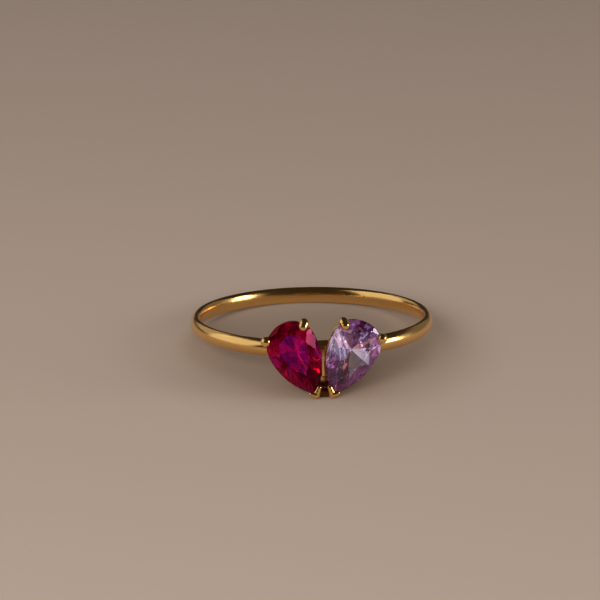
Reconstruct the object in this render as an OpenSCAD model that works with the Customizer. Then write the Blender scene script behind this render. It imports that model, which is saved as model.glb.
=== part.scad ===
// Toi et moi ring: a thin gold band with two pear stones set side by side as a heart.
// The ring lies on its side. It rests on the two tip claws in front and on the band behind.

/* [Band] */
// Inner diameter of the band
finger_d = 17.3; // [15.3:0.1:19.7]
// Height of the band, along the finger
band_h = 1.3; // [1.2:0.05:1.6]
// Thickness of the band, outwards from the finger
band_t = 0.85; // [0.75:0.05:0.9]
// Radius of the band's rounded inner edges
band_edge_r = 0.3; // [0.25:0.05:0.35]

/* [Stones] */
// Length of a pear stone, from its round end to its tip
stone_l = 6; // [5.6:0.1:6.4]
// Width of a pear stone
stone_w = 3.8; // [3.6:0.1:4]
// Height of the crown, from the girdle to the table
crown_h = 0.55; // [0.45:0.05:0.65]
// Depth of the pavilion, from the girdle to the culet
pavilion_h = 1.6; // [1.4:0.05:1.7]
// Distance from the middle of the round end to the culet, towards the tip
culet_shift = 0.6; // [0.3:0.1:0.8]
// Thickness of the girdle at the facet corners
girdle_h = 0.16; // [0.12:0.02:0.2]
// Width of the table, as a share of the stone's width
table_ratio = 0.56; // [0.5:0.02:0.62]

/* [Heart] */
// Distance from the band's outside to the stones' girdle plane
girdle_rise = 1.6; // [1.4:0.1:2.1]
// Lean of each stone's tip towards the middle, in degrees
stone_lean = 25; // [22:0.5:28]
// Distance from the middle to the widest point of each stone, across the finger
stone_x = 2.37; // [2.3:0.01:2.6]
// Height of that point above the band's middle, along the finger
stone_y = 0.76; // [0.4:0.02:1]

/* [Settings] */
// Width of the gallery rail under the girdle
rail_w = 0.26; // [0.22:0.02:0.28]
// Height of the gallery rail
rail_h = 0.34; // [0.3:0.02:0.5]
// Radius of a claw's post
post_r = 0.34; // [0.28:0.02:0.38]
// Radius of the rounded shoulder of a claw
knuckle_r = 0.4; // [0.39:0.01:0.46]
// Angle of the two shoulder claws from the middle of the round end, in degrees
claw_angle = 52; // [42:1:60]
// Free space between a stone and its setting
seat_gap = 0.03; // [0.02:0.01:0.05]

/* [Hidden] */
$fn = 64;

// Band, as circles on the radius and height axes
finger_r = finger_d / 2;
band_r = finger_r + band_t;
girdle_r = band_r + girdle_rise;
edge_x = finger_r + band_edge_r;
edge_y = band_h / 2 - band_edge_r;
dome_run = band_t - band_edge_r;
dome_r = (pow(dome_run, 2) + pow(edge_y, 2) - pow(band_edge_r, 2))
    / (2 * (dome_run - band_edge_r));

// Pear outline: a round end, and two long side arcs that meet at the tip
round_r = stone_w / 2;
tip_y = stone_l - round_r;
side_x = (pow(tip_y, 2) - pow(round_r, 2)) / (2 * round_r);
side_r = side_x + round_r;
side_angle = asin(tip_y / side_r);

// The outline's stations run from 0 at the round end to 8 and -8 at the tip,
// with 4 and -4 at the widest point. Main facets sit at the even ones.
STATIONS = 8;
STEPS = 3;
POINTS = 2 * STATIONS * STEPS;
MAINS = [-6, -4, -2, 0, 2, 4, 6, 8];
star_share = 0.5;
keel_share = 0.78;
edge_z = girdle_h / 2;
table_z = edge_z + crown_h;
star_z = edge_z + star_share * crown_h;
keel_z = -edge_z - keel_share * pavilion_h;
culet_z = -edge_z - pavilion_h;
culet_at = [0, -culet_shift];
// Half facets meet the main ones this far out at the round end, on the crown and the pavilion
half_turn = cos(22.5);
star_out = round_r * (1 + (table_ratio - 1) * star_share) / half_turn;
keel_out = round_r * (1 - keel_share) / half_turn;

// Settings, as depths below and heights above the girdle plane
rail_top = -0.55;
rail_inset = 0.12;
rail_shift = 0.12;
base_inset = 0.62;
base_w = 0.4;
base_h = 0.4;
base_z = -1.95;
post_foot = base_z + base_h / 2;
post_foot_inset = base_inset + base_w / 2;
post_foot_r = 0.3;
shoulder_out = 0.12;
shoulder_z = 0.2;
finger_in = 0.26;
finger_z = 0.4;
finger_root_r = 0.38;
finger_end_r = 0.34;
tip_foot_in = 1.15;
tip_ball_r = 0.3;
tip_post_r = 0.27;
tip_ball_out = 0.04;
tip_ball_z = 0.1;
arm_root_r = 0.285;
arm_end_r = 0.2;
arm_z = 0.17;
arm_out = 0.03;
arm_inner = -7.5;
arm_outer = 7.7;
arm_middle = 7.65;
end_swell = 0.004;
arm_step = 0.02;
tip_crown_angle = 40;
tip_keel_angle = 45;
foot_x = 3.3;
foot_r = 0.36;

// Where the right-hand stone's tip and its V claw's foot lie, from the stone's round end
tip_point = [-tip_y * sin(stone_lean), -tip_y * cos(stone_lean)];
tip_foot_point = (tip_y - tip_foot_in) / tip_y * tip_point;

// The bars reach from one basket to the other, and their heights in the heart follow the stones
bar_weld = 0.02;
bar_w = 2 * (stone_x + side_x * cos(stone_lean) - side_r + bar_weld);
bar_low = stone_y - 2.54;
bar_high = stone_y - 0.38;
bar_sink = 0.05;
tip_bar_low = stone_y + tip_point.y - 0.184;
tip_bar_high = stone_y + tip_point.y + 0.256;
tip_bar_z = -0.9;
tip_bar_h = 0.63;
base_bar_low = stone_y + tip_foot_point.y - 0.986;
base_bar_high = stone_y + tip_foot_point.y + 0.214;

// Resting tilt: the ring turns about its two lowest front balls and the band's lower back edge
front_reach = girdle_r + tip_ball_z;
front_drop = -(stone_y + tip_point.y - tip_ball_out * cos(stone_lean));
back_reach = edge_x;
back_drop = edge_y;
rest_span = norm([front_reach + back_reach, front_drop - back_drop]);
rest_tilt = atan2(front_drop - back_drop, front_reach + back_reach)
    + asin((tip_ball_r - band_edge_r) / rest_span);
rest_lift = back_reach * sin(rest_tilt) + back_drop * cos(rest_tilt) + band_edge_r;
front_end = (girdle_r + tip_ball_z) * cos(rest_tilt) + front_drop * sin(rest_tilt) + tip_ball_r;
back_end = band_r * cos(rest_tilt);
rest_shift = (front_end - back_end) / 2;

function sum2(a, b) = a.x * b.x + a.y * b.y;
function on_top(p, z) = [p.x, p.y, z];

// A point of the pear's outline at a station, and the outward direction there
function heading(u) = abs(u) <= 4 ? 90 - 22.5 * abs(u) : -side_angle * (abs(u) - 4) / 4;
function side_of(u) = u < 0 ? -1 : 1;
function outward(u) = abs(u) == STATIONS ? [0, -1]
    : [side_of(u) * cos(heading(u)), sin(heading(u))];
function outline(u) = abs(u) == STATIONS ? [0, -tip_y]
    : abs(u) <= 4 ? round_r * outward(u)
    : [side_of(u) * (side_r * cos(heading(u)) - side_x), side_r * sin(heading(u))];

// A main facet is the plane through an outline point, level along the outline's tangent,
// that rises inwards to meet the point "inner" at height z
function run(u, z0, inner, z) = sum2(outward(u), inner - outline(u)) / (z - z0);
// How far out that plane lies at height zz
function reach(u, z0, inner, z, zz) =
    sum2(outward(u), outline(u)) + run(u, z0, inner, z) * (zz - z0);
// Where two main facets cross at height zz
function crossing(n1, r1, n2, r2) =
    [r1 * n2.y - r2 * n1.y, n1.x * r2 - n2.x * r1] / (n1.x * n2.y - n2.x * n1.y);
// Height of the plane through three points, above p
function plane_z(p, a, b, c) = let (n = cross(b - a, c - a))
    a.z - (n.x * (p.x - a.x) + n.y * (p.y - a.y)) / n.z;

// One pear stone, table up and tip towards -Y
module pear_stone() {
    next = function (u) u == 8 ? -6 : u + 2;
    wrap = function (u) u > 8 ? u - 16 : u;
    table = [for (u = MAINS) on_top(table_ratio * outline(u), table_z)];
    stars = [for (i = [0:7]) let (u = MAINS[i], v = next(u), j = (i + 1) % 8)
        on_top(crossing(
            outward(u), reach(u, edge_z, [table[i].x, table[i].y], table_z, star_z),
            outward(v), reach(v, edge_z, [table[j].x, table[j].y], table_z, star_z)
        ), star_z)];
    keels = [for (i = [0:7]) let (u = MAINS[i], v = next(u))
        on_top(crossing(
            outward(u), reach(u, -edge_z, culet_at, culet_z, keel_z),
            outward(v), reach(v, -edge_z, culet_at, culet_z, keel_z)
        ), keel_z)];
    // Each outline point's height lies on the girdle facet that it bounds
    rim = [for (k = [0:POINTS - 1]) outline(wrap(-6 + k / STEPS))];
    corner = function (s, z) on_top(outline(wrap(-6 + s)), z);
    crown_rim = [for (k = [0:POINTS - 1]) let (s = floor(k / STEPS), i = floor(s / 2))
        on_top(rim[k], plane_z(rim[k], stars[i], corner(s, edge_z), corner(s + 1, edge_z)))];
    keel_rim = [for (k = [0:POINTS - 1]) let (s = floor(k / STEPS), i = floor(s / 2))
        on_top(rim[k], plane_z(rim[k], keels[i], corner(s, -edge_z), corner(s + 1, -edge_z)))];
    culet = on_top(culet_at, culet_z);

    points = concat(table, stars, keels, crown_rim, keel_rim, [culet]);
    STARS = 8;
    KEELS = 16;
    CROWN = 24;
    PAVILION = CROWN + POINTS;
    CULET = PAVILION + POINTS;
    MAIN_STEP = 2 * STEPS;
    faces = concat(
        [[for (i = [7:-1:0]) i]],
        [for (i = [0:7]) [i, (i + 1) % 8, STARS + i]],
        [for (i = [0:7]) [i, STARS + i, CROWN + i * MAIN_STEP, STARS + (i + 7) % 8]],
        [for (i = [0:7], h = [0, 1]) let (k = i * MAIN_STEP + h * STEPS)
            concat([STARS + i], [for (m = [STEPS:-1:0]) CROWN + (k + m) % POINTS])],
        [for (k = [0:POINTS - 1]) let (n = (k + 1) % POINTS)
            [CROWN + k, CROWN + n, PAVILION + n, PAVILION + k]],
        [for (i = [0:7], h = [0, 1]) let (k = i * MAIN_STEP + h * STEPS)
            concat([KEELS + i], [for (m = [0:STEPS]) PAVILION + (k + m) % POINTS])],
        [for (i = [0:7])
            [CULET, KEELS + (i + 7) % 8, PAVILION + i * MAIN_STEP, KEELS + i]]
    );
    polyhedron(points = points, faces = faces, convexity = 2);
}

// Flat pear outline, moved out by grow or in by a negative one
module pear_outline(grow) {
    big = 4 * stone_l;
    intersection() {
        circle(round_r + grow);
        translate([-big / 2, 0]) square(big);
    }
    intersection() {
        translate([-side_x, 0]) circle(side_r + grow);
        translate([side_x, 0]) circle(side_r + grow);
        translate([-big / 2, -big]) square(big);
    }
}

// Flat wire bent round the stone, from inset to inset + w inside its outline
module pear_rail(inset, w, h) {
    linear_extrude(h) difference() {
        pear_outline(-inset);
        pear_outline(-inset - w);
    }
}

// Round bar from a to b
module rod(a, b, r1, r2) {
    d = b - a;
    translate(a) rotate([0, acos(d.z / norm(d)), atan2(d.y, d.x)])
        cylinder(h = norm(d), r1 = r1, r2 = r2);
}

module ball(p, r) {
    translate(p) sphere(r);
}

// Claw arm from a to b: a tapered bar with a round end, turned as one piece
module arm(a, b, r1, r2) {
    d = b - a;
    l = norm(d);
    translate(a) rotate([0, acos(d.z / l), atan2(d.y, d.x)]) rotate_extrude() {
        polygon([[0, 0], [r1, 0], [r2, l], [0, l]]);
        intersection() {
            translate([0, l]) circle(r2 + end_swell);
            square([2 * r1, 2 * l]);
        }
    }
}

// Turned tool that cuts the seat of a claw on the round end, just clear of the stone
module round_seat() {
    out = round_r + seat_gap;
    crown_run = (round_r - star_out) / (star_z - edge_z);
    high = 2 * table_z;
    rotate_extrude() polygon([[0, culet_z - seat_gap], [keel_out + seat_gap, keel_z - seat_gap],
        [out, -edge_z - seat_gap], [out, edge_z + seat_gap],
        [out - crown_run * (high - edge_z), high], [0, high]]);
}

// Tool that cuts the seat of the V claw: two wedges, one along each side of the tip
module tip_seat() {
    deep = 2 * round_r;
    long = 4 * round_r;
    intersection_for (side = [0, 1]) mirror([side, 0, 0])
        translate(on_top(outline(arm_middle), 0)) rotate([90, 0, heading(arm_middle)])
            linear_extrude(long, center = true) polygon([
                [seat_gap, -edge_z - seat_gap], [seat_gap, edge_z + seat_gap],
                [-deep, edge_z + deep * tan(tip_crown_angle)],
                [-deep, -edge_z - deep * tan(tip_keel_angle)]]);
}

// Claw on the round end: a leaning post, a shoulder beside the girdle, and on the claw
// towards the middle a finger on the crown
module shoulder_claw(angle, folded) {
    n = [sin(angle), cos(angle)];
    foot = on_top((round_r - post_foot_inset) * n, post_foot);
    shoulder = on_top((round_r + shoulder_out) * n, shoulder_z);
    finger = on_top((round_r - finger_in) * n, finger_z);
    difference() {
        union() {
            rod(foot, shoulder, post_foot_r, post_r);
            ball(shoulder, knuckle_r);
            if (folded) arm(shoulder, finger, finger_root_r, finger_end_r);
        }
        round_seat();
    }
}

// V claw round the tip: a leaning post, a ball beyond the tip, an arm along each side
module tip_claw() {
    foot = on_top([0, -tip_y + tip_foot_in], post_foot);
    tip = [0, -tip_y - tip_ball_out, tip_ball_z];
    difference() {
        union() {
            rod(foot, tip, post_foot_r, tip_post_r);
            ball(tip, tip_ball_r);
            arm(tip, on_top(outline(arm_inner) + arm_out * outward(arm_inner), arm_z),
                arm_root_r, arm_end_r);
            arm(tip, on_top(outline(arm_outer) + arm_out * outward(arm_outer), arm_z),
                arm_root_r - arm_step, arm_end_r - arm_step);
        }
        tip_seat();
    }
}

// The basket of one stone: two rails joined by three claws
module basket() {
    translate([0, 0, base_z]) pear_rail(base_inset, base_w, base_h);
    shoulder_claw(claw_angle, false);
    shoulder_claw(-claw_angle, true);
    tip_claw();
}

// Places the right-hand stone in the heart
module in_heart() {
    translate([stone_x, stone_y, 0]) rotate([0, 0, -stone_lean]) children();
}

// Bar across the heart, the same width to both sides of its middle
module cross_bar(w, low, high, z, h) {
    translate([-w / 2, low, z]) cube([w, high - low, h]);
}

// Both heads and the bars that join them, in the heart's own plane
module heart_setting() {
    for (side = [0, 1]) mirror([side, 0, 0]) {
        in_heart() basket();
        translate([-rail_shift, 0, 0]) in_heart() translate([0, 0, rail_top - rail_h])
            pear_rail(rail_inset, rail_w, rail_h);
        band_here = -girdle_r + sqrt(pow(band_r - band_t / 2, 2) - pow(foot_x, 2));
        rod([foot_x, 0, post_foot], [foot_x, 0, band_here], foot_r, foot_r);
    }
    cross_bar(bar_w, bar_low, bar_high, rail_top - rail_h + bar_sink, rail_h - 2 * bar_sink);
    cross_bar(2 * (stone_x + tip_point.x), tip_bar_low, tip_bar_high, tip_bar_z, tip_bar_h);
    cross_bar(2 * (stone_x + tip_foot_point.x), base_bar_low, base_bar_high, base_z, base_h);
}

// Puts what is drawn in the heart's plane at the front of the upright ring
module at_front() {
    translate([0, -girdle_r, 0]) rotate([90, 0, 0]) children();
}

// Lays the upright ring on its side
module lying() {
    translate([0, rest_shift, rest_lift]) rotate([-rest_tilt, 0, 0]) children();
}

module band() {
    rotate_extrude() {
        dome_x = band_r - dome_r;
        dome_angle = atan2(edge_y, edge_x - dome_x);
        far = 2 * dome_r;
        intersection() {
            translate([dome_x, 0]) circle(dome_r);
            polygon([[dome_x, 0], [dome_x + far * cos(dome_angle), far * sin(dome_angle)],
                [dome_x + far, 0], [dome_x + far * cos(dome_angle), -far * sin(dome_angle)]]);
        }
        for (s = [-1, 1]) translate([edge_x, s * edge_y]) circle(band_edge_r);
        polygon([[finger_r, -edge_y], [edge_x, -edge_y], [dome_x, 0], [edge_x, edge_y],
            [finger_r, edge_y]]);
    }
}

module gold_ring() {
    color("goldenrod") lying() {
        band();
        at_front() heart_setting();
    }
}

module ruby_stone() {
    color("crimson") lying() at_front() mirror([1, 0, 0]) in_heart() pear_stone();
}

module lilac_stone() {
    color("plum") lying() at_front() in_heart() pear_stone();
}

gold_ring();
ruby_stone();
lilac_stone();
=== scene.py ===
"""Toi et moi ring: a thin gold band with a ruby and a lilac pear stone, lying on its side."""
import math

import bmesh
import bpy
from mathutils import Matrix, Vector


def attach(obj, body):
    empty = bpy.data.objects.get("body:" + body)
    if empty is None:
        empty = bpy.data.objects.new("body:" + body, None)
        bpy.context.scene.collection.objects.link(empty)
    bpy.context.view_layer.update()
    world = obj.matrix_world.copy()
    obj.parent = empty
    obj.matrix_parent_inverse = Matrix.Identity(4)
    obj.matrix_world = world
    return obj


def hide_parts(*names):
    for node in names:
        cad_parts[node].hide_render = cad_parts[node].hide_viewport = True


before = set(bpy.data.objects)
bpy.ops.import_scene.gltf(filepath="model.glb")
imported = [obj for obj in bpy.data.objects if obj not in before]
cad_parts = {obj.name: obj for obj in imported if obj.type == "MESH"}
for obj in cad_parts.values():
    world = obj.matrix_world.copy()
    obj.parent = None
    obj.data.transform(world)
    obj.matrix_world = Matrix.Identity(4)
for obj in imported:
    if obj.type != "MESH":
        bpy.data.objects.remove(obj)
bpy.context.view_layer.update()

# Band
# One thin gold wire, drawn to a domed section with softened inner edges, bent to a ring and
# soldered shut behind the stones, then polished bright all over.
MM = 0.001
FINGER_R = 8.65
BAND_WALL = 0.85
BAND_HEIGHT = 1.3
BAND_EDGE_R = 0.3
COMFORT_R = 1.2
STEPS_AROUND, STEPS_OF_SECTION = 384, 24
REST_TILT = math.radians(7.47014)
REST_SHIFT = 1.18729
REST_LIFT = 1.81061
MERGE_GAP = 1e-5
# The hairs' pattern moves on by this for each radian round the ring, and by 1 for each millimetre across
HAIR_STEP_ROUND = 0.5
HAIR_DEPTH = 0.01
POLISHED = {"light": (0.97, 0.62, 0.24), "dark": (0.9, 0.55, 0.18)}

# Sizes are millimetres on the upright ring, and this lays it on its side in the frame
lay_down = (Matrix.Translation((0, REST_SHIFT * MM, REST_LIFT * MM))
            @ Matrix.Rotation(-REST_TILT, 4, "X") @ Matrix.Scale(MM, 4))


def new_tree(name, sizes):
    """An empty node tree for a modifier, with a geometry socket and a named input for each size."""
    tree = bpy.data.node_groups.new(name, "GeometryNodeTree")
    tree.interface.new_socket("Geometry", in_out="INPUT", socket_type="NodeSocketGeometry")
    for label, value in sizes.items():
        kind = "NodeSocketInt" if isinstance(value, int) else "NodeSocketFloat"
        socket = tree.interface.new_socket(label, in_out="INPUT", socket_type=kind)
        socket.default_value = value
    tree.interface.new_socket("Material", in_out="INPUT", socket_type="NodeSocketMaterial")
    tree.interface.new_socket("Geometry", in_out="OUTPUT", socket_type="NodeSocketGeometry")
    return tree, tree.nodes.new("NodeGroupInput"), tree.nodes.new("NodeGroupOutput")


def new_group(name, inputs, outputs):
    """An empty shader group with those named inputs and outputs."""
    group = bpy.data.node_groups.new(name, "ShaderNodeTree")
    for way, sockets in (("INPUT", inputs), ("OUTPUT", outputs)):
        for label, kind in sockets.items():
            group.interface.new_socket(label, in_out=way, socket_type="NodeSocket" + kind)
    return group, group.nodes.new("NodeGroupInput"), group.nodes.new("NodeGroupOutput")


def set_socket(tree, node, key, value):
    """Sets an input to a value, or joins it to another socket. The key is its name, or i and its number,
    as for a Mix node, where one name stands for several inputs."""
    numbered = key[0] == "i" and key[1:].isdigit()
    socket = node.inputs[int(key[1:])] if numbered else node.inputs[key.replace("_", " ")]
    if isinstance(value, bpy.types.NodeSocket):
        tree.links.new(value, socket)
    else:
        socket.default_value = value


def put(tree, kind, settings=None, **sockets):
    """A new node with its settings and its inputs."""
    node = tree.nodes.new(kind)
    for key, value in (settings or {}).items():
        setattr(node, key, value)
    for key, value in sockets.items():
        set_socket(tree, node, key, value)
    return node


def reckon(tree, operation, *values):
    """The result of a Math node of that operation."""
    node = tree.nodes.new("ShaderNodeMath")
    node.operation = operation
    for i, value in enumerate(values):
        set_socket(tree, node, f"i{i}", value)
    return node.outputs[0]


def arc_points(tree, radius, start, sweep, x, y, steps):
    """Points along an arc, for a section or an outline made of arcs that meet."""
    arc = put(tree, "GeometryNodeCurveArc",
              Resolution=steps, Radius=radius, Start_Angle=start, Sweep_Angle=sweep)
    place = put(tree, "ShaderNodeCombineXYZ", X=x, Y=y)
    moved = put(tree, "GeometryNodeSetPosition", Geometry=arc.outputs["Curve"], Offset=place.outputs[0])
    points = put(tree, "GeometryNodeCurveToPoints", {"mode": "EVALUATED"}, Curve=moved.outputs[0])
    return points.outputs["Points"]


def closed_outline(tree, arcs):
    """One closed curve through the points of several arcs, in order."""
    join = tree.nodes.new("GeometryNodeJoinGeometry")
    for points in reversed(arcs):
        tree.links.new(points, join.inputs[0])
    curve = put(tree, "GeometryNodePointsToCurves", Points=join.outputs[0])
    closed = put(tree, "GeometryNodeSetSplineCyclic", i0=curve.outputs[0], Cyclic=True)
    return closed.outputs[0]


def end_tree(tree, given, result, geometry):
    """Gives the shape its material and hands it on as real geometry."""
    painted = put(tree, "GeometryNodeSetMaterial", Geometry=geometry, Material=given.outputs["Material"])
    real = put(tree, "GeometryNodeRealizeInstances", Geometry=painted.outputs[0])
    tree.links.new(real.outputs[0], result.inputs[0])


def new_object(name, data):
    """An object of that name, with its mesh, light or camera."""
    made = bpy.data.objects.new(name, data)
    bpy.context.collection.objects.link(made)
    return made


def run_tree(name, tree, inputs):
    """The tree's result with those inputs, as a plain mesh on an object of that name."""
    carrier = new_object(name, bpy.data.meshes.new(name))
    modifier = carrier.modifiers.new(name, "NODES")
    modifier.node_group = tree
    for item in tree.interface.items_tree:
        if item.in_out == "INPUT" and item.name in inputs:
            modifier[item.identifier] = inputs[item.name]
    evaluated = carrier.evaluated_get(bpy.context.evaluated_depsgraph_get())
    mesh = bpy.data.meshes.new_from_object(evaluated)
    carrier.modifiers.remove(modifier)
    carrier.data = mesh
    mesh.name = name
    return carrier


def join_ends(mesh):
    """Joins points that fall together and turns every face outwards."""
    form = bmesh.new()
    form.from_mesh(mesh)
    bmesh.ops.remove_doubles(form, verts=form.verts, dist=MERGE_GAP)
    bmesh.ops.recalc_face_normals(form, faces=form.faces)
    form.to_mesh(mesh)
    form.free()


def polish_marks():
    """Hairlines that run round the finger, and cloudy patches, as a polishing wheel leaves them."""
    group, given, result = new_group(
        "polish_marks", {"Place": "Vector", "Lines": "Float", "Patches": "Float"},
        {"Height": "Float", "Roughness": "Float", "Shade": "Float"})
    upright = put(group, "ShaderNodeMapping", {"vector_type": "TEXTURE"}, Vector=given.outputs["Place"],
                  Location=(0, REST_SHIFT * MM, REST_LIFT * MM), Rotation=(-REST_TILT, 0, 0),
                  Scale=(MM, MM, MM))
    axes = put(group, "ShaderNodeSeparateXYZ", Vector=upright.outputs[0])
    turn = reckon(group, "ARCTAN2", axes.outputs["X"], axes.outputs["Y"])
    flat = put(group, "ShaderNodeCombineXYZ", X=axes.outputs["X"], Y=axes.outputs["Y"])
    out = put(group, "ShaderNodeVectorMath", {"operation": "LENGTH"}, i0=flat.outputs[0])
    unrolled = put(group, "ShaderNodeCombineXYZ", X=reckon(group, "MULTIPLY", turn, HAIR_STEP_ROUND),
                   Y=out.outputs["Value"], Z=axes.outputs["Z"])
    hairs = put(group, "ShaderNodeTexNoise",
                Vector=unrolled.outputs[0], Scale=26.0, Detail=5.0, Roughness=0.7)
    hair_height = reckon(group, "MULTIPLY", hairs.outputs["Fac"], given.outputs["Lines"])
    clouds = put(group, "ShaderNodeTexNoise", Vector=upright.outputs[0], Scale=0.9, Detail=3.0)
    patchy = put(group, "ShaderNodeMapRange", Value=clouds.outputs["Fac"], From_Min=0.35, From_Max=0.7,
                 To_Min=0.12, To_Max=0.18)
    rough = reckon(group, "ADD", patchy.outputs[0],
                   reckon(group, "MULTIPLY", hairs.outputs["Fac"], given.outputs["Patches"]))
    group.links.new(hair_height, result.inputs["Height"])
    group.links.new(rough, result.inputs["Roughness"])
    group.links.new(clouds.outputs["Fac"], result.inputs["Shade"])
    return group


def gold_finish(name, light, dark, lines, patches, extra_roughness):
    """Yellow gold with its polish marks. A bigger extra roughness leaves it unpolished."""
    material = bpy.data.materials.new(name)
    material.use_nodes = True
    tree = material.node_tree
    shader = tree.nodes["Principled BSDF"]
    shader.inputs["Metallic"].default_value = 1.0
    place = tree.nodes.new("ShaderNodeTexCoord")
    marks = put(tree, "ShaderNodeGroup", {"node_tree": wheel_marks}, Place=place.outputs["Object"],
                Lines=lines, Patches=patches)
    shade = put(tree, "ShaderNodeMix", {"data_type": "RGBA"},
                i0=marks.outputs["Shade"], i6=(*light, 1), i7=(*dark, 1))
    tree.links.new(shade.outputs[2], shader.inputs["Base Color"])
    rough = reckon(tree, "ADD", marks.outputs["Roughness"], extra_roughness)
    tree.links.new(rough, shader.inputs["Roughness"])
    bump = put(tree, "ShaderNodeBump", Height=marks.outputs["Height"], Strength=0.35,
               Distance=HAIR_DEPTH * MM)
    tree.links.new(bump.outputs[0], shader.inputs["Normal"])
    return material


wheel_marks = polish_marks()
gold = gold_finish("polished_gold", **POLISHED, lines=1.0, patches=0.08, extra_roughness=0.0)

band_tree, given, result = new_tree("band_wire", {
    "Finger Radius": FINGER_R, "Wall": BAND_WALL, "Height": BAND_HEIGHT, "Edge Radius": BAND_EDGE_R,
    "Comfort Radius": COMFORT_R, "Steps Around": STEPS_AROUND, "Steps Of Section": STEPS_OF_SECTION})


def of_band(operation, *values):
    """A size of the band's section, worked out from others."""
    return reckon(band_tree, operation, *values)


def squared(value):
    """The square of a size of the band's section."""
    return of_band("POWER", value, 2.0)


wall, height, edge_r = given.outputs["Wall"], given.outputs["Height"], given.outputs["Edge Radius"]
comfort_r, steps = given.outputs["Comfort Radius"], given.outputs["Steps Of Section"]
edge_y = of_band("SUBTRACT", of_band("DIVIDE", height, 2.0), edge_r)
# The softened edges touch the finger's side and the outer dome without a corner
reach = of_band("SUBTRACT", comfort_r, edge_r)
comfort_angle = of_band("ARCSINE", of_band("DIVIDE", edge_y, reach))
edge_x = of_band("SUBTRACT", comfort_r, of_band("MULTIPLY", reach, of_band("COSINE", comfort_angle)))
run = of_band("SUBTRACT", wall, edge_x)
dome_r = of_band("DIVIDE",
                 of_band("SUBTRACT", of_band("ADD", squared(run), squared(edge_y)), squared(edge_r)),
                 of_band("MULTIPLY", 2.0, of_band("SUBTRACT", run, edge_r)))
dome_x = of_band("SUBTRACT", wall, dome_r)
dome_angle = of_band("ARCTAN2", edge_y, of_band("SUBTRACT", edge_x, dome_x))
dome_start = of_band("MULTIPLY", dome_angle, -1.0)
dome_sweep = of_band("MULTIPLY", dome_angle, 2.0)
inner_start = of_band("SUBTRACT", math.pi, comfort_angle)
inner_end = of_band("ADD", math.pi, comfort_angle)
inner_sweep = of_band("MULTIPLY", comfort_angle, 2.0)
edge_sweep = of_band("SUBTRACT", inner_start, dome_angle)
low_y = of_band("MULTIPLY", edge_y, -1.0)
section = closed_outline(band_tree, [
    arc_points(band_tree, dome_r, dome_start, dome_sweep, dome_x, 0.0, steps),
    arc_points(band_tree, edge_r, dome_angle, edge_sweep, edge_x, edge_y, steps),
    arc_points(band_tree, comfort_r, inner_start, inner_sweep, comfort_r, 0.0, steps),
    arc_points(band_tree, edge_r, inner_end, edge_sweep, edge_x, low_y, steps)])
circle = put(band_tree, "GeometryNodeCurvePrimitiveCircle", Resolution=given.outputs["Steps Around"],
             Radius=given.outputs["Finger Radius"])
sweep = put(band_tree, "GeometryNodeCurveToMesh", Curve=circle.outputs[0], Profile_Curve=section)
smooth = put(band_tree, "GeometryNodeSetShadeSmooth", i0=sweep.outputs[0])
end_tree(band_tree, given, result, smooth.outputs[0])
band = run_tree("band", band_tree, {"Material": gold})
join_ends(band.data)
band.data.transform(lay_down)
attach(band, "root")
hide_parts("gold_ring")


# Baskets
# Each stone has its own basket of gold wire: a gallery rail and a smaller base rail, joined by two
# leaning claws and a V claw round the tip. The joints are soldered and filed, and the claws pressed on.
# In the heart's plane x runs to the lilac stone, y from the tips to the round ends, z out to the tables
GIRDLE_R = 11.1
STONE_X, STONE_Y, STONE_LEAN = 2.37, 0.76, math.radians(25)
# A pear is a half circle and two long arcs that meet at its tip
STONE_L, STONE_W = 6.0, 3.8
ROUND_R = STONE_W / 2
TIP_Y = STONE_L - ROUND_R
SIDE_X = (TIP_Y ** 2 - ROUND_R ** 2) / (2 * ROUND_R)
SIDE_R = SIDE_X + ROUND_R

BASE_LEVEL = -1.75
GALLERY_RAIL = {"inset": 0.12, "width": 0.26, "height": 0.34, "level": -0.72}
BASE_RAIL = {"inset": 0.62, "width": 0.4, "height": 0.4, "level": BASE_LEVEL}
RAIL_EDGE = 0.07
# The gallery rail is moved this far towards the heart's middle
GALLERY_SHIFT = 0.12

# A claw runs through points beyond the round end, and the tip's post through points back from the tip
CLAW_ANGLE = math.radians(52)
BEAD_CLAW = {"beyond": (-0.82, -0.36, 0.06, 0.11), "level": (BASE_LEVEL, -0.8, -0.06, 0.2),
             "radius": (0.3, 0.32, 0.35, 0.39)}
FOLDED_CLAW = {"beyond": (-0.82, -0.36, 0.06, 0.07, -0.13), "level": (BASE_LEVEL, -0.8, -0.06, 0.2, 0.38),
               "radius": (0.3, 0.32, 0.36, 0.38, 0.35)}
TIP_POST = {"back": (1.15, 0.4, -0.04), "level": (BASE_LEVEL, -0.65, 0.1), "radius": (0.3, 0.29, 0.28)}
# The V claw's arms lie along the sides, the inner one drawn to the tip and the outer one from it
ARM_GAP, ARM_LEVEL = 0.03, 0.17
INNER_ARM = {"along": -0.58, "bend": 0.6, "radius": (0.2, 0.25, 0.29)}
OUTER_ARM = {"along": 0.36, "bend": 0.4, "radius": (0.29, 0.23, 0.18)}
FOOT_X = 3.3
FOOT = {"level": (-1.6, -2.2, -2.6), "radius": (0.36, 0.37, 0.38)}

# Steps between two points of a bar, sides round it, and steps of its rounded end
BAR_STEPS, BAR_SIDES, CAP_STEPS = 8, 28, 7
# The joints are run together on a grid this fine
JOINT_GRID = 0.036
SEAT_ROOM = 0.02
# Points this near are one point, and faces this nearly level, in radians, are one facet
FACET_GAP, FACET_ANGLE = 1e-4, 0.002

heart = lay_down @ Matrix.Translation((0, -GIRDLE_R, 0)) @ Matrix.Rotation(math.radians(90), 4, "X")
leaning = Matrix.Translation((STONE_X, STONE_Y, 0)) @ Matrix.Rotation(-STONE_LEAN, 4, "Z")
mirrored = Matrix.Scale(-1, 4, (1, 0, 0))


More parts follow.
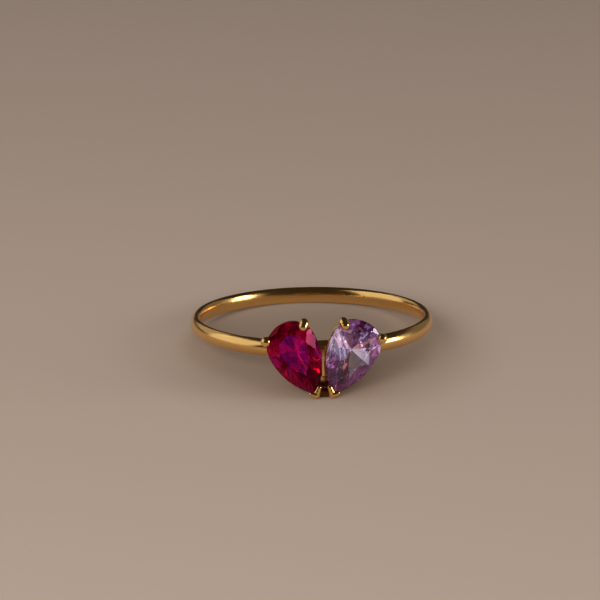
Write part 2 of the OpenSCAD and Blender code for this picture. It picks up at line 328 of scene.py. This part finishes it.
def side_point(along, out):
    """A point on the pear's long side, that far along it from the tip and that far out from it. Minus is
    the side towards the heart's middle."""
    full = math.asin(TIP_Y / SIDE_R)
    turn = -full + abs(along) / SIDE_R
    x = (SIDE_R + out) * math.cos(turn) - SIDE_X
    return Vector((math.copysign(x, along), (SIDE_R + out) * math.sin(turn), 0))


def smooth_path(points, radii):
    """Points and radii along a smooth line through the given ones."""
    line = []
    ends = [2 * points[0] - points[1], *points, 2 * points[-1] - points[-2]]
    for i in range(1, len(points)):
        a, b, c, d = ends[i - 1:i + 3]
        for k in range(BAR_STEPS):
            t = k / BAR_STEPS
            place = 0.5 * (2 * b + (c - a) * t + (2 * a - 5 * b + 4 * c - d) * t ** 2
                           + (3 * b - a - 3 * c + d) * t ** 3)
            ease = t * t * (3 - 2 * t)
            line.append((place, radii[i - 1] + (radii[i] - radii[i - 1]) * ease))
    return line + [(points[-1], radii[-1])]


def domed_end(place, r, heading, out):
    """The rings of a bar's rounded end, from the bar outwards, and the end's last point."""
    turns = [math.pi / 2 * k / CAP_STEPS for k in range(1, CAP_STEPS)]
    rings = [(place + out * r * math.sin(turn), r * math.cos(turn), heading) for turn in turns]
    return rings, place + out * r


def filed_bar(form, points, radii):
    """A round bar along a smooth line, with a rounded end on both sides, added to the form."""
    line = smooth_path([Vector(p) for p in points], radii)
    heading = [(line[min(i + 1, len(line) - 1)][0] - line[max(i - 1, 0)][0]).normalized()
               for i in range(len(line))]
    start, first_tip = domed_end(*line[0], heading[0], -heading[0])
    finish, last_tip = domed_end(*line[-1], heading[-1], heading[-1])
    rings = start[::-1] + [(p, r, h) for (p, r), h in zip(line, heading)] + finish
    side = heading[0].orthogonal().normalized()
    previous = None
    tip = form.verts.new(first_tip)
    for place, r, direction in rings:
        side = (side - direction * side.dot(direction)).normalized()
        other = direction.cross(side)
        ring = [form.verts.new(place + r * (side * math.cos(a) + other * math.sin(a)))
                for a in (2 * math.pi * k / BAR_SIDES for k in range(BAR_SIDES))]
        for k in range(BAR_SIDES):
            n = (k + 1) % BAR_SIDES
            if previous is None:
                form.faces.new((tip, ring[n], ring[k]))
            else:
                form.faces.new((previous[k], previous[n], ring[n], ring[k]))
        previous = ring
    tip = form.verts.new(last_tip)
    for k in range(BAR_SIDES):
        form.faces.new((tip, previous[k], previous[(k + 1) % BAR_SIDES]))


def new_piece(name, form, material):
    """An object of that name from the form."""
    mesh = bpy.data.meshes.new(name)
    bmesh.ops.recalc_face_normals(form, faces=form.faces)
    form.to_mesh(mesh)
    form.free()
    mesh.materials.append(material)
    return new_object(name, mesh)


# The rails: a flattened wire bent round the stone's outline, at its own level
rail_tree, given, result = new_tree("pear_wire", {
    "Inset": GALLERY_RAIL["inset"], "Wire Width": GALLERY_RAIL["width"],
    "Wire Height": GALLERY_RAIL["height"], "Edge": RAIL_EDGE, "Level": GALLERY_RAIL["level"],
    "Round Radius": ROUND_R, "Side Centre": SIDE_X, "Side Radius": SIDE_R, "Steps": 48})


def of_rail(operation, *values):
    """A size of the rail's outline, worked out from others."""
    return reckon(rail_tree, operation, *values)


inset, steps = given.outputs["Inset"], given.outputs["Steps"]
round_r = of_rail("SUBTRACT", given.outputs["Round Radius"], inset)
side_r = of_rail("SUBTRACT", given.outputs["Side Radius"], inset)
side_x = given.outputs["Side Centre"]
tip_y = of_rail("SQRT", of_rail("SUBTRACT", of_rail("POWER", side_r, 2.0), of_rail("POWER", side_x, 2.0)))
turn = of_rail("ARCTAN2", tip_y, side_x)
back_turn = of_rail("MULTIPLY", turn, -1.0)
left_x = of_rail("MULTIPLY", side_x, -1.0)
outline = closed_outline(rail_tree, [
    arc_points(rail_tree, side_r, back_turn, turn, left_x, 0.0, steps),
    arc_points(rail_tree, round_r, 0.0, math.pi, 0.0, 0.0, steps),
    arc_points(rail_tree, side_r, math.pi, turn, side_x, 0.0, steps)])
lift = put(rail_tree, "ShaderNodeCombineXYZ", Z=given.outputs["Level"])
raised = put(rail_tree, "GeometryNodeSetPosition", Geometry=outline, Offset=lift.outputs[0])
section = put(rail_tree, "GeometryNodeCurvePrimitiveQuadrilateral",
              Width=given.outputs["Wire Width"], Height=given.outputs["Wire Height"])
rounded = put(rail_tree, "GeometryNodeFilletCurve", {"mode": "POLY"},
              i0=section.outputs[0], Radius=given.outputs["Edge"], Count=4)
wire = put(rail_tree, "GeometryNodeCurveToMesh", Curve=raised.outputs[0], Profile_Curve=rounded.outputs[0])
end_tree(rail_tree, given, result, wire.outputs[0])


def rail_mesh(inset, width, height, level):
    """A rail as a plain mesh, in the stone's own place. The inset is its outer side's."""
    rail = run_tree("rail", rail_tree, {"Inset": inset + width / 2, "Wire Width": width,
                                        "Wire Height": height, "Level": level, "Material": gold})
    mesh = rail.data
    bpy.data.objects.remove(rail)
    return mesh


def shoulder_claw(form, angle, claw):
    """A claw on the round end: it leans out past the girdle, and ends in a bead beside the stone
    or in a finger that is folded over the crown."""
    out = Vector((math.sin(angle), math.cos(angle), 0))
    points = [out * (ROUND_R + beyond) + Vector((0, 0, level))
              for beyond, level in zip(claw["beyond"], claw["level"])]
    filed_bar(form, points, claw["radius"])


def tip_claw(form):
    """The V claw: a post below the stone's tip, and an arm along each side of it."""
    post = [Vector((0, back - TIP_Y, level)) for back, level in zip(TIP_POST["back"], TIP_POST["level"])]
    filed_bar(form, post, TIP_POST["radius"])
    corner = post[-1]
    inner, outer = (side_point(arm["along"], ARM_GAP) + Vector((0, 0, ARM_LEVEL))
                    for arm in (INNER_ARM, OUTER_ARM))
    filed_bar(form, [inner, inner.lerp(corner, INNER_ARM["bend"]), corner], INNER_ARM["radius"])
    filed_bar(form, [corner, corner.lerp(outer, OUTER_ARM["bend"]), outer], OUTER_ARM["radius"])


def whole_facets(node):
    """A copy of a stone's solid in the heart's plane, with every facet as one face."""
    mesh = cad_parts[node].data.copy()
    mesh.transform(heart.inverted())
    form = bmesh.new()
    form.from_mesh(mesh)
    bmesh.ops.remove_doubles(form, verts=form.verts, dist=FACET_GAP)
    bmesh.ops.dissolve_limit(form, angle_limit=FACET_ANGLE, verts=form.verts, edges=form.edges)
    bmesh.ops.recalc_face_normals(form, faces=form.faces)
    form.to_mesh(mesh)
    form.free()
    return mesh


def seat_tool(node):
    """The stone's own shape, grown a little, that cuts its seats."""
    mesh = whole_facets(node)
    middle = sum((v.co for v in mesh.vertices), Vector()) / len(mesh.vertices)
    for v in mesh.vertices:
        v.co += (v.co - middle).normalized() * SEAT_ROOM
    return new_object("seat_tool", mesh)


def use_modifier(piece, kind, **settings):
    """Adds a modifier with those settings and makes its result the piece's mesh."""
    modifier = piece.modifiers.new(kind, kind)
    for key, value in settings.items():
        setattr(modifier, key, value)
    mesh = bpy.data.meshes.new_from_object(piece.evaluated_get(bpy.context.evaluated_depsgraph_get()))
    piece.modifiers.remove(modifier)
    old, name = piece.data, piece.data.name
    piece.data = mesh
    bpy.data.meshes.remove(old)
    mesh.name = name


def take_up(form, mesh):
    """Adds a mesh to the form and drops it."""
    form.from_mesh(mesh)
    bpy.data.meshes.remove(mesh)


def basket(name, side, node):
    """One basket, with its joints run together and its seats cut."""
    form = bmesh.new()
    for rail, shift in ((GALLERY_RAIL, GALLERY_SHIFT), (BASE_RAIL, 0.0)):
        bent = rail_mesh(**rail)
        bent.transform(Matrix.Translation((-shift, 0, 0)) @ leaning)
        take_up(form, bent)
    claws = bmesh.new()
    shoulder_claw(claws, CLAW_ANGLE, BEAD_CLAW)
    shoulder_claw(claws, -CLAW_ANGLE, FOLDED_CLAW)
    tip_claw(claws)
    claws.transform(leaning)
    claw_mesh = bpy.data.meshes.new("claws")
    claws.to_mesh(claw_mesh)
    claws.free()
    take_up(form, claw_mesh)
    filed_bar(form, [(FOOT_X, 0, level) for level in FOOT["level"]], FOOT["radius"])
    if side < 0:
        form.transform(mirrored)
    piece = new_piece(name, form, gold)
    use_modifier(piece, "REMESH", mode="VOXEL", voxel_size=JOINT_GRID, use_smooth_shade=True)
    use_modifier(piece, "SMOOTH", factor=0.6, iterations=4)
    tool = seat_tool(node)
    use_modifier(piece, "BOOLEAN", operation="DIFFERENCE", object=tool, solver="EXACT")
    bpy.data.objects.remove(tool)
    piece.data.materials.clear()
    piece.data.materials.append(gold)
    piece.data.transform(heart)
    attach(piece, "root")
    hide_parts("gold_ring")


basket("ruby_basket", -1, "ruby_stone")
basket("lilac_basket", 1, "lilac_stone")


# Joining bars
# Short gold bars are soldered between the baskets in the middle of the heart, at the tips and between
# the base rails, so the two heads are one piece. The tip bar and its solder between the V claws are
# painted dark, as painted shade in that recess.
TIP_SHADE_COLOURS = {"light": (0.3, 0.13, 0.04), "dark": (0.16, 0.07, 0.02)}
TIP_X = STONE_X - TIP_Y * math.sin(STONE_LEAN)
POST_X = STONE_X - (TIP_Y - TIP_POST["back"][0]) * math.sin(STONE_LEAN)
BAR_EDGE = 0.06
# The low corner and the high corner of each bar, in the heart's plane
MIDDLE_BAR = ((-0.165, -1.78, -0.84), (0.165, 0.38, -0.6))
TIP_BAR = ((-TIP_X, -3.14, -0.9), (TIP_X, -2.7, -0.27))
TIP_SOLDER = ((-0.45, -3.19, -0.5), (0.45, -2.72, -0.02))
BASE_BAR = ((-POST_X, -2.9, -1.95), (POST_X, -1.7, -1.55))


def cross_bar(name, blocks, material):
    """A square bar with rounded edges, of one block or more."""
    form = bmesh.new()
    for low, high in blocks:
        size = Vector(high) - Vector(low)
        middle = (Vector(high) + Vector(low)) / 2
        place = Matrix.Translation(middle) @ Matrix.Diagonal((*size, 1))
        bmesh.ops.create_cube(form, size=1, matrix=place)
    piece = new_piece(name, form, material)
    use_modifier(piece, "BEVEL", width=BAR_EDGE, segments=4)
    piece.data.transform(heart)
    for face in piece.data.polygons:
        face.use_smooth = True
    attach(piece, "root")
    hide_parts("gold_ring")


# The tip bar's dark gold is painted shade for the recess between the V claws, on a rough unpolished finish
tip_shade_gold = gold_finish("tip_shade_gold", **TIP_SHADE_COLOURS, lines=1.0, patches=0.2, extra_roughness=0.3)
cross_bar("middle_bar", [MIDDLE_BAR], gold)
cross_bar("tip_bar", [TIP_BAR, TIP_SOLDER], tip_shade_gold)
cross_bar("base_bar", [BASE_BAR], gold)


# Stones
# Two pear brilliants, cut and polished: a deep pink-red ruby on the left and a pale purple stone on
# the right, held by their claws. Their facets are the solids' own, and each carries a painted glow and
# painted sparkle in place of the light bounced inside the stone.
# Scale of the painted sparks' pattern along the stone's three axes
SPARK_SIZE = (0.22, 0.3, 0.7)
# The dimmest and the brightest painted spark, as shares of the facet's painted glow
SPARKS_FROM, SPARKS_TO = 0.15, 2.7
# A facet belongs to the pavilion, the star facets or the table by how far its direction points up
PAVILION_BELOW, STAR_ABOVE, TABLE_ABOVE = -0.3, 0.9, 0.99
# Above this level a pavilion facet keeps only this share of its own painted glow
GIRDLE_ABOVE, GIRDLE_SHARE = -0.3, 0.3


def painted_sparkle():
    """A facet's painted glow, broken up into small bright and dark pieces: painted sparkle, as facets
    mirrored in facets show it.
    """
    group, given, result = new_group(
        "painted_sparkle", {"Tone": "Color", "Shatter": "Float", "Place": "Vector"}, {"Colour": "Color"})
    cells = put(group, "ShaderNodeTexVoronoi", Vector=given.outputs["Place"], Scale=1.0, Randomness=1.0)
    chance = put(group, "ShaderNodeSeparateColor", i0=cells.outputs["Color"])
    spread = put(group, "ShaderNodeMapRange", Value=reckon(group, "POWER", chance.outputs[0], 2.0),
                 To_Min=SPARKS_FROM, To_Max=SPARKS_TO)
    share = put(group, "ShaderNodeMix", i0=given.outputs["Shatter"], i2=1.0, i3=spread.outputs[0])
    broken = put(group, "ShaderNodeVectorMath", {"operation": "SCALE"},
                 i0=given.outputs["Tone"], Scale=share.outputs[0])
    group.links.new(broken.outputs[0], result.inputs[0])
    return group


painted_facet_glow = painted_sparkle()


def gem(name, side, sheen, density, absorbed, ior):
    """Clear coloured stone: it darkens with its depth, and each facet glows in its own tone, a painted light
    that stands in for the light it throws back, and fades with the square of the bounces."""
    material = bpy.data.materials.new(name)
    material.use_nodes = True
    tree = material.node_tree
    shader = tree.nodes["Principled BSDF"]
    shader.inputs["Roughness"].default_value = 0.0
    shader.inputs["IOR"].default_value = ior
    shader.inputs["Specular Tint"].default_value = (*sheen, 1)
    shader.inputs["Transmission Weight"].default_value = 1.0
    shader.inputs["Emission Strength"].default_value = 1.0
    depth = put(tree, "ShaderNodeVolumeAbsorption", Color=(*absorbed, 1), Density=density)
    tree.links.new(depth.outputs[0], tree.nodes["Material Output"].inputs["Volume"])
    tint = put(tree, "ShaderNodeAttribute", {"attribute_name": "tint"})
    tree.links.new(tint.outputs["Color"], shader.inputs["Base Color"])
    tone = put(tree, "ShaderNodeAttribute", {"attribute_name": "tone"})
    place = tree.nodes.new("ShaderNodeTexCoord")
    along = put(tree, "ShaderNodeMapping", {"vector_type": "TEXTURE"}, Vector=place.outputs["Object"],
                Rotation=(0, side * STONE_LEAN, 0), Scale=[size * MM for size in SPARK_SIZE])
    # Painted glow: each facet's tone, broken into painted sparks, goes into the emission
    painted_glow = put(tree, "ShaderNodeGroup", {"node_tree": painted_facet_glow}, Tone=tone.outputs["Color"],
                 Shatter=tone.outputs["Alpha"], Place=along.outputs[0])
    path = tree.nodes.new("ShaderNodeLightPath")
    bounces = reckon(tree, "MAXIMUM", path.outputs["Ray Depth"], 1.0)
    fading = reckon(tree, "POWER", bounces, -2.0)
    seen = put(tree, "ShaderNodeVectorMath", {"operation": "SCALE"}, i0=painted_glow.outputs[0], Scale=fading)
    tree.links.new(seen.outputs[0], shader.inputs["Emission Color"])
    material.cycles.emission_sampling = "NONE"
    return material


def apart(one, other):
    """How many degrees lie between two directions."""
    return min(abs(one - other), 360 - abs(one - other))


def cut_stone(name, node, side, material, tones, tints, pavilion, crown, table, star, edge):
    """A stone whose facets each have a tone, a painted glow for the light that they throw back, and a
    tint, what they let through, darker than the stone's own colour on some facets as painted shade. A
    facet takes the tone that is listed for its direction, in degrees from the round end, with the side
    towards the heart's middle as minus. The pavilion nears the edge's tone at the girdle."""
    mesh = whole_facets(node)
    mesh.name = name
    mesh.materials.clear()
    mesh.materials.append(material)
    tone_layer = mesh.attributes.new("tone", "FLOAT_COLOR", "CORNER")
    tint_layer = mesh.attributes.new("tint", "FLOAT_COLOR", "CORNER")
    straightened = Matrix.Rotation(STONE_LEAN, 3, "Z")
    for face in mesh.polygons:
        facing = straightened @ Vector((face.normal.x * side, *face.normal.yz))
        angle = math.degrees(math.atan2(facing.x, facing.y))
        below = facing.z < PAVILION_BELOW
        listed = pavilion if below else crown
        nearest = min(listed, key=lambda known: apart(known, angle))
        tone = table if facing.z > TABLE_ABOVE else star if facing.z > STAR_ABOVE else listed[nearest]
        for corner in face.loop_indices:
            level = mesh.vertices[mesh.loops[corner].vertex_index].co.z
            kept = GIRDLE_SHARE if below and level > GIRDLE_ABOVE else 1.0
            tone_layer.data[corner].color = [kept * own + (1 - kept) * last
                                             for own, last in zip(tones[tone], tones[edge])]
            tint_layer.data[corner].color = (*tints.get(tone, tints["clear"]), 1)
    mesh.transform(heart)
    stone = new_object(name, mesh)
    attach(stone, "root")
    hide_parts(node)
    return stone


# A tone is red, green, blue and how far it is broken up, and a tint is red, green and blue. Tones
# are painted glow, and tints other than clear are painted shade on those facets.
RUBY_TONES = {
    "haze": (0.035, 0.001, 0.034, 0.4), "blush": (0.018, 0.0, 0.003, 0.6), "shade": (0.01, 0.0, 0.001, 0.5),
    "pink": (0.07, 0.002, 0.035, 1.0), "dark": (0.008, 0.0, 0.006, 0.5), "deep": (0.022, 0.0, 0.003, 0.7),
    "wine": (0.045, 0.0, 0.036, 0.6), "crimson": (0.06, 0.0, 0.009, 0.7), "red": (0.1, 0.004, 0.02, 0.4),
    "purple": (0.07, 0.001, 0.062, 0.4), "magenta": (0.085, 0.0, 0.05, 0.7), "rose": (0.17, 0.005, 0.09, 1.0)}
RUBY_TINTS = {
    "clear": (0.9, 0.07, 0.3), "shade": (0.5, 0.02, 0.1), "blush": (0.65, 0.03, 0.3),
    "pink": (0.35, 0.01, 0.09)}
RUBY_PAVILION = {
    0: "purple", 45: "purple", 90: "purple", 115: "magenta", 180: "dark",
    -115: "rose", -90: "magenta", -45: "red",
    11: "deep", 34: "deep", 56: "wine", 79: "wine", 96: "rose", 109: "crimson", 121: "crimson",
    134: "wine", -11: "crimson", -34: "deep", -56: "deep", -79: "magenta", -96: "crimson", -109: "rose",
    -121: "crimson", -134: "deep"}
RUBY_CROWN = {
    0: "shade", 45: "shade", 75: "blush", 90: "blush", 115: "blush", 135: "blush", 180: "shade",
    -20: "blush", -45: "blush", -70: "blush", -90: "pink", -105: "pink", -120: "shade", -150: "shade"}
ruby_material = gem("ruby", -1, sheen=(0.3, 0.02, 0.08), density=620, absorbed=(0.8, 0.02, 0.35), ior=1.77)
ruby = cut_stone("ruby", "ruby_stone", -1, ruby_material, RUBY_TONES, RUBY_TINTS, RUBY_PAVILION,
                 RUBY_CROWN, table="haze", star="shade", edge="deep")

# The lilac's tones are painted glow too, and its tints other than clear are painted shade
LILAC_TONES = {
    "clear": (0.0, 0.0, 0.0, 0.0), "shade": (0.012, 0.002, 0.01, 1.0), "edge": (0.028, 0.006, 0.018, 1.0),
    "dark": (0.008, 0.003, 0.006, 0.7), "violet": (0.07, 0.018, 0.06, 1.0), "plum": (0.03, 0.004, 0.018, 1.0),
    "pale": (0.3, 0.25, 0.36, 1.0), "mist": (0.06, 0.03, 0.07, 0.3), "veil": (0.08, 0.04, 0.09, 0.2),
    "grey": (0.11, 0.1, 0.08, 0.0), "white": (0.5, 0.46, 0.48, 0.0), "tan": (0.3, 0.17, 0.12, 0.1)}
LILAC_TINTS = {
    "clear": (0.9, 0.8, 1.0), "shade": (0.3, 0.09, 0.26), "edge": (0.1, 0.02, 0.07),
    "plum": (0.22, 0.05, 0.15), "violet": (0.3, 0.12, 0.32), "dark": (0.05, 0.02, 0.05),
    "mist": (0.45, 0.32, 0.52), "veil": (0.6, 0.5, 0.75), "grey": (0.2, 0.2, 0.2)}
LILAC_PAVILION = {
    0: "violet", 45: "tan", 90: "white", 115: "grey", 180: "violet",
    -115: "pale", -90: "violet", -45: "dark",
    11: "pale", 34: "veil", 56: "plum", 79: "pale", 96: "white", 109: "grey", 121: "grey",
    134: "plum", -11: "plum", -34: "violet", -56: "mist", -79: "pale", -96: "pale", -109: "pale",
    -121: "violet", -134: "plum"}
LILAC_CROWN = {
    0: "shade", 20: "shade", 40: "veil", 56: "clear", 75: "clear", 90: "edge", 105: "edge",
    120: "edge", 140: "edge", 180: "shade", -20: "shade", -45: "mist", -90: "clear", -105: "clear",
    -120: "shade", -150: "shade"}
lilac_material = gem("lilac", 1, sheen=(0.8, 0.7, 0.95), density=120, absorbed=(0.7, 0.5, 0.9), ior=1.76)
lilac = cut_stone("lilac", "lilac_stone", 1, lilac_material, LILAC_TONES, LILAC_TINTS, LILAC_PAVILION,
                  LILAC_CROWN, table="clear", star="clear", edge="plum")


# Floor, light and camera
# A plain pale floor with a painted shade, a little darker and warmer, in and near the ring, under soft
# cards and five narrow windows. The camera looks down by 20.6 degrees, from 4.5 degrees to the left.
FLOOR_SIZE = 3.0
FLOOR_COLOUR, RING_SHADE_COLOUR = (0.48, 0.385, 0.325, 1), (0.3, 0.222, 0.168, 1)
# The painted shade on the floor is at its darkest and warmest up to the first distance from the middle,
# and the floor is plain from the second
RING_SHADE_FROM, RING_SHADE_TO = 5, 16
RING_MIDDLE = Vector((0, -0.004, 0.003))
# The windows stand side by side on the right, this many degrees apart
WINDOWS, FIRST_WINDOW, WINDOW_STEP = 5, 66.5, 4.6
# Where the camera is and the point that it looks at, in millimetres
CAMERA_AT, CAMERA_TO = (-15.75988, -185.44960, 73.89299), (-0.91152, 1.18729, 3.56379)
CAMERA_LENS = 153.4854

floor_form = bmesh.new()
bmesh.ops.create_grid(floor_form, x_segments=1, y_segments=1, size=FLOOR_SIZE)
pale = bpy.data.materials.new("pale_floor")
pale.use_nodes = True
tree = pale.node_tree
shader = tree.nodes["Principled BSDF"]
shader.inputs["Roughness"].default_value = 0.9
shader.inputs["Specular IOR Level"].default_value = 0.1
place = tree.nodes.new("ShaderNodeTexCoord")
from_middle = put(tree, "ShaderNodeVectorMath", {"operation": "LENGTH"}, i0=place.outputs["Object"])
ring_shade_mask = put(tree, "ShaderNodeMapRange", {"interpolation_type": "SMOOTHSTEP"},
             Value=from_middle.outputs["Value"], From_Min=RING_SHADE_FROM * MM, From_Max=RING_SHADE_TO * MM,
             To_Min=1.0, To_Max=0.0)
# Painted shade: the floor colour turns darker and warmer towards the ring
painted_ring_shade = put(tree, "ShaderNodeMix", {"data_type": "RGBA"},
                  i0=ring_shade_mask.outputs[0], i6=FLOOR_COLOUR, i7=RING_SHADE_COLOUR)
tree.links.new(painted_ring_shade.outputs[2], shader.inputs["Base Color"])
floor = new_piece("floor", floor_form, pale)

world = bpy.data.worlds.new("studio")
bpy.context.scene.world = world
world.use_nodes = True
world.node_tree.nodes["Background"].inputs["Color"].default_value = (0.03, 0.024, 0.02, 1)
world.node_tree.nodes["Background"].inputs["Strength"].default_value = 1.0
bpy.context.scene.view_settings.view_transform = "Standard"


def soft_light(name, azimuth, elevation, wide, high, brightness, colour, distance=0.4, in_metal=True):
    """A flat soft light in that direction, so many degrees wide and high, of even brightness. The
    azimuth is in degrees from the front, with the right as plus. A light that isn't in the metal
    lights the floor, but the gold and the stones don't mirror it."""
    a, e = math.radians(azimuth), math.radians(elevation)
    out = Vector((math.sin(a) * math.cos(e), -math.cos(a) * math.cos(e), math.sin(e)))
    light = bpy.data.lights.new(name, "AREA")
    light.shape = "RECTANGLE"
    light.size = 2 * distance * math.tan(math.radians(wide) / 2)
    light.size_y = 2 * distance * math.tan(math.radians(high) / 2)
    light.energy = brightness * math.pi * light.size * light.size_y
    light.color = colour
    lamp = new_object(name, light)
    lamp.location = RING_MIDDLE + out * distance
    lamp.rotation_euler = out.to_track_quat("Z", "Y").to_euler()
    lamp.visible_camera = False
    lamp.visible_glossy = lamp.visible_transmission = in_metal


soft_light("front", azimuth=-24, elevation=26, wide=44, high=26, brightness=7.5,
           colour=(1, 0.95, 0.9), distance=0.3, in_metal=False)
soft_light("overhead", azimuth=0, elevation=75, wide=60, high=60, brightness=0.8,
           colour=(1, 0.95, 0.9), distance=0.5, in_metal=False)
soft_light("left_card", azimuth=-90, elevation=26, wide=58, high=52, brightness=0.75,
           colour=(1, 0.97, 0.92))
soft_light("back_left_card", azimuth=-138, elevation=24, wide=36, high=34, brightness=0.35,
           colour=(1, 0.95, 0.88))
for k in range(WINDOWS):
    soft_light(f"window_{k}", azimuth=FIRST_WINDOW + WINDOW_STEP * k, elevation=11, wide=3.0, high=26,
               brightness=9.0, colour=(1, 0.96, 0.88))
soft_light("right_card", azimuth=80, elevation=12, wide=50, high=28, brightness=0.3,
           colour=(1, 0.95, 0.86), distance=0.5)
soft_light("right_back_card", azimuth=128, elevation=14, wide=44, high=30, brightness=0.13,
           colour=(1, 0.93, 0.85), distance=0.5)

camera = new_object("camera", bpy.data.cameras.new("camera"))
bpy.context.scene.camera = camera
camera.location = Vector(CAMERA_AT) * MM
view = Vector(CAMERA_TO) * MM - camera.location
camera.rotation_mode = "QUATERNION"
camera.rotation_quaternion = view.to_track_quat("-Z", "Y")
camera.data.lens = CAMERA_LENS
camera.data.clip_start, camera.data.clip_end = 0.01, 20
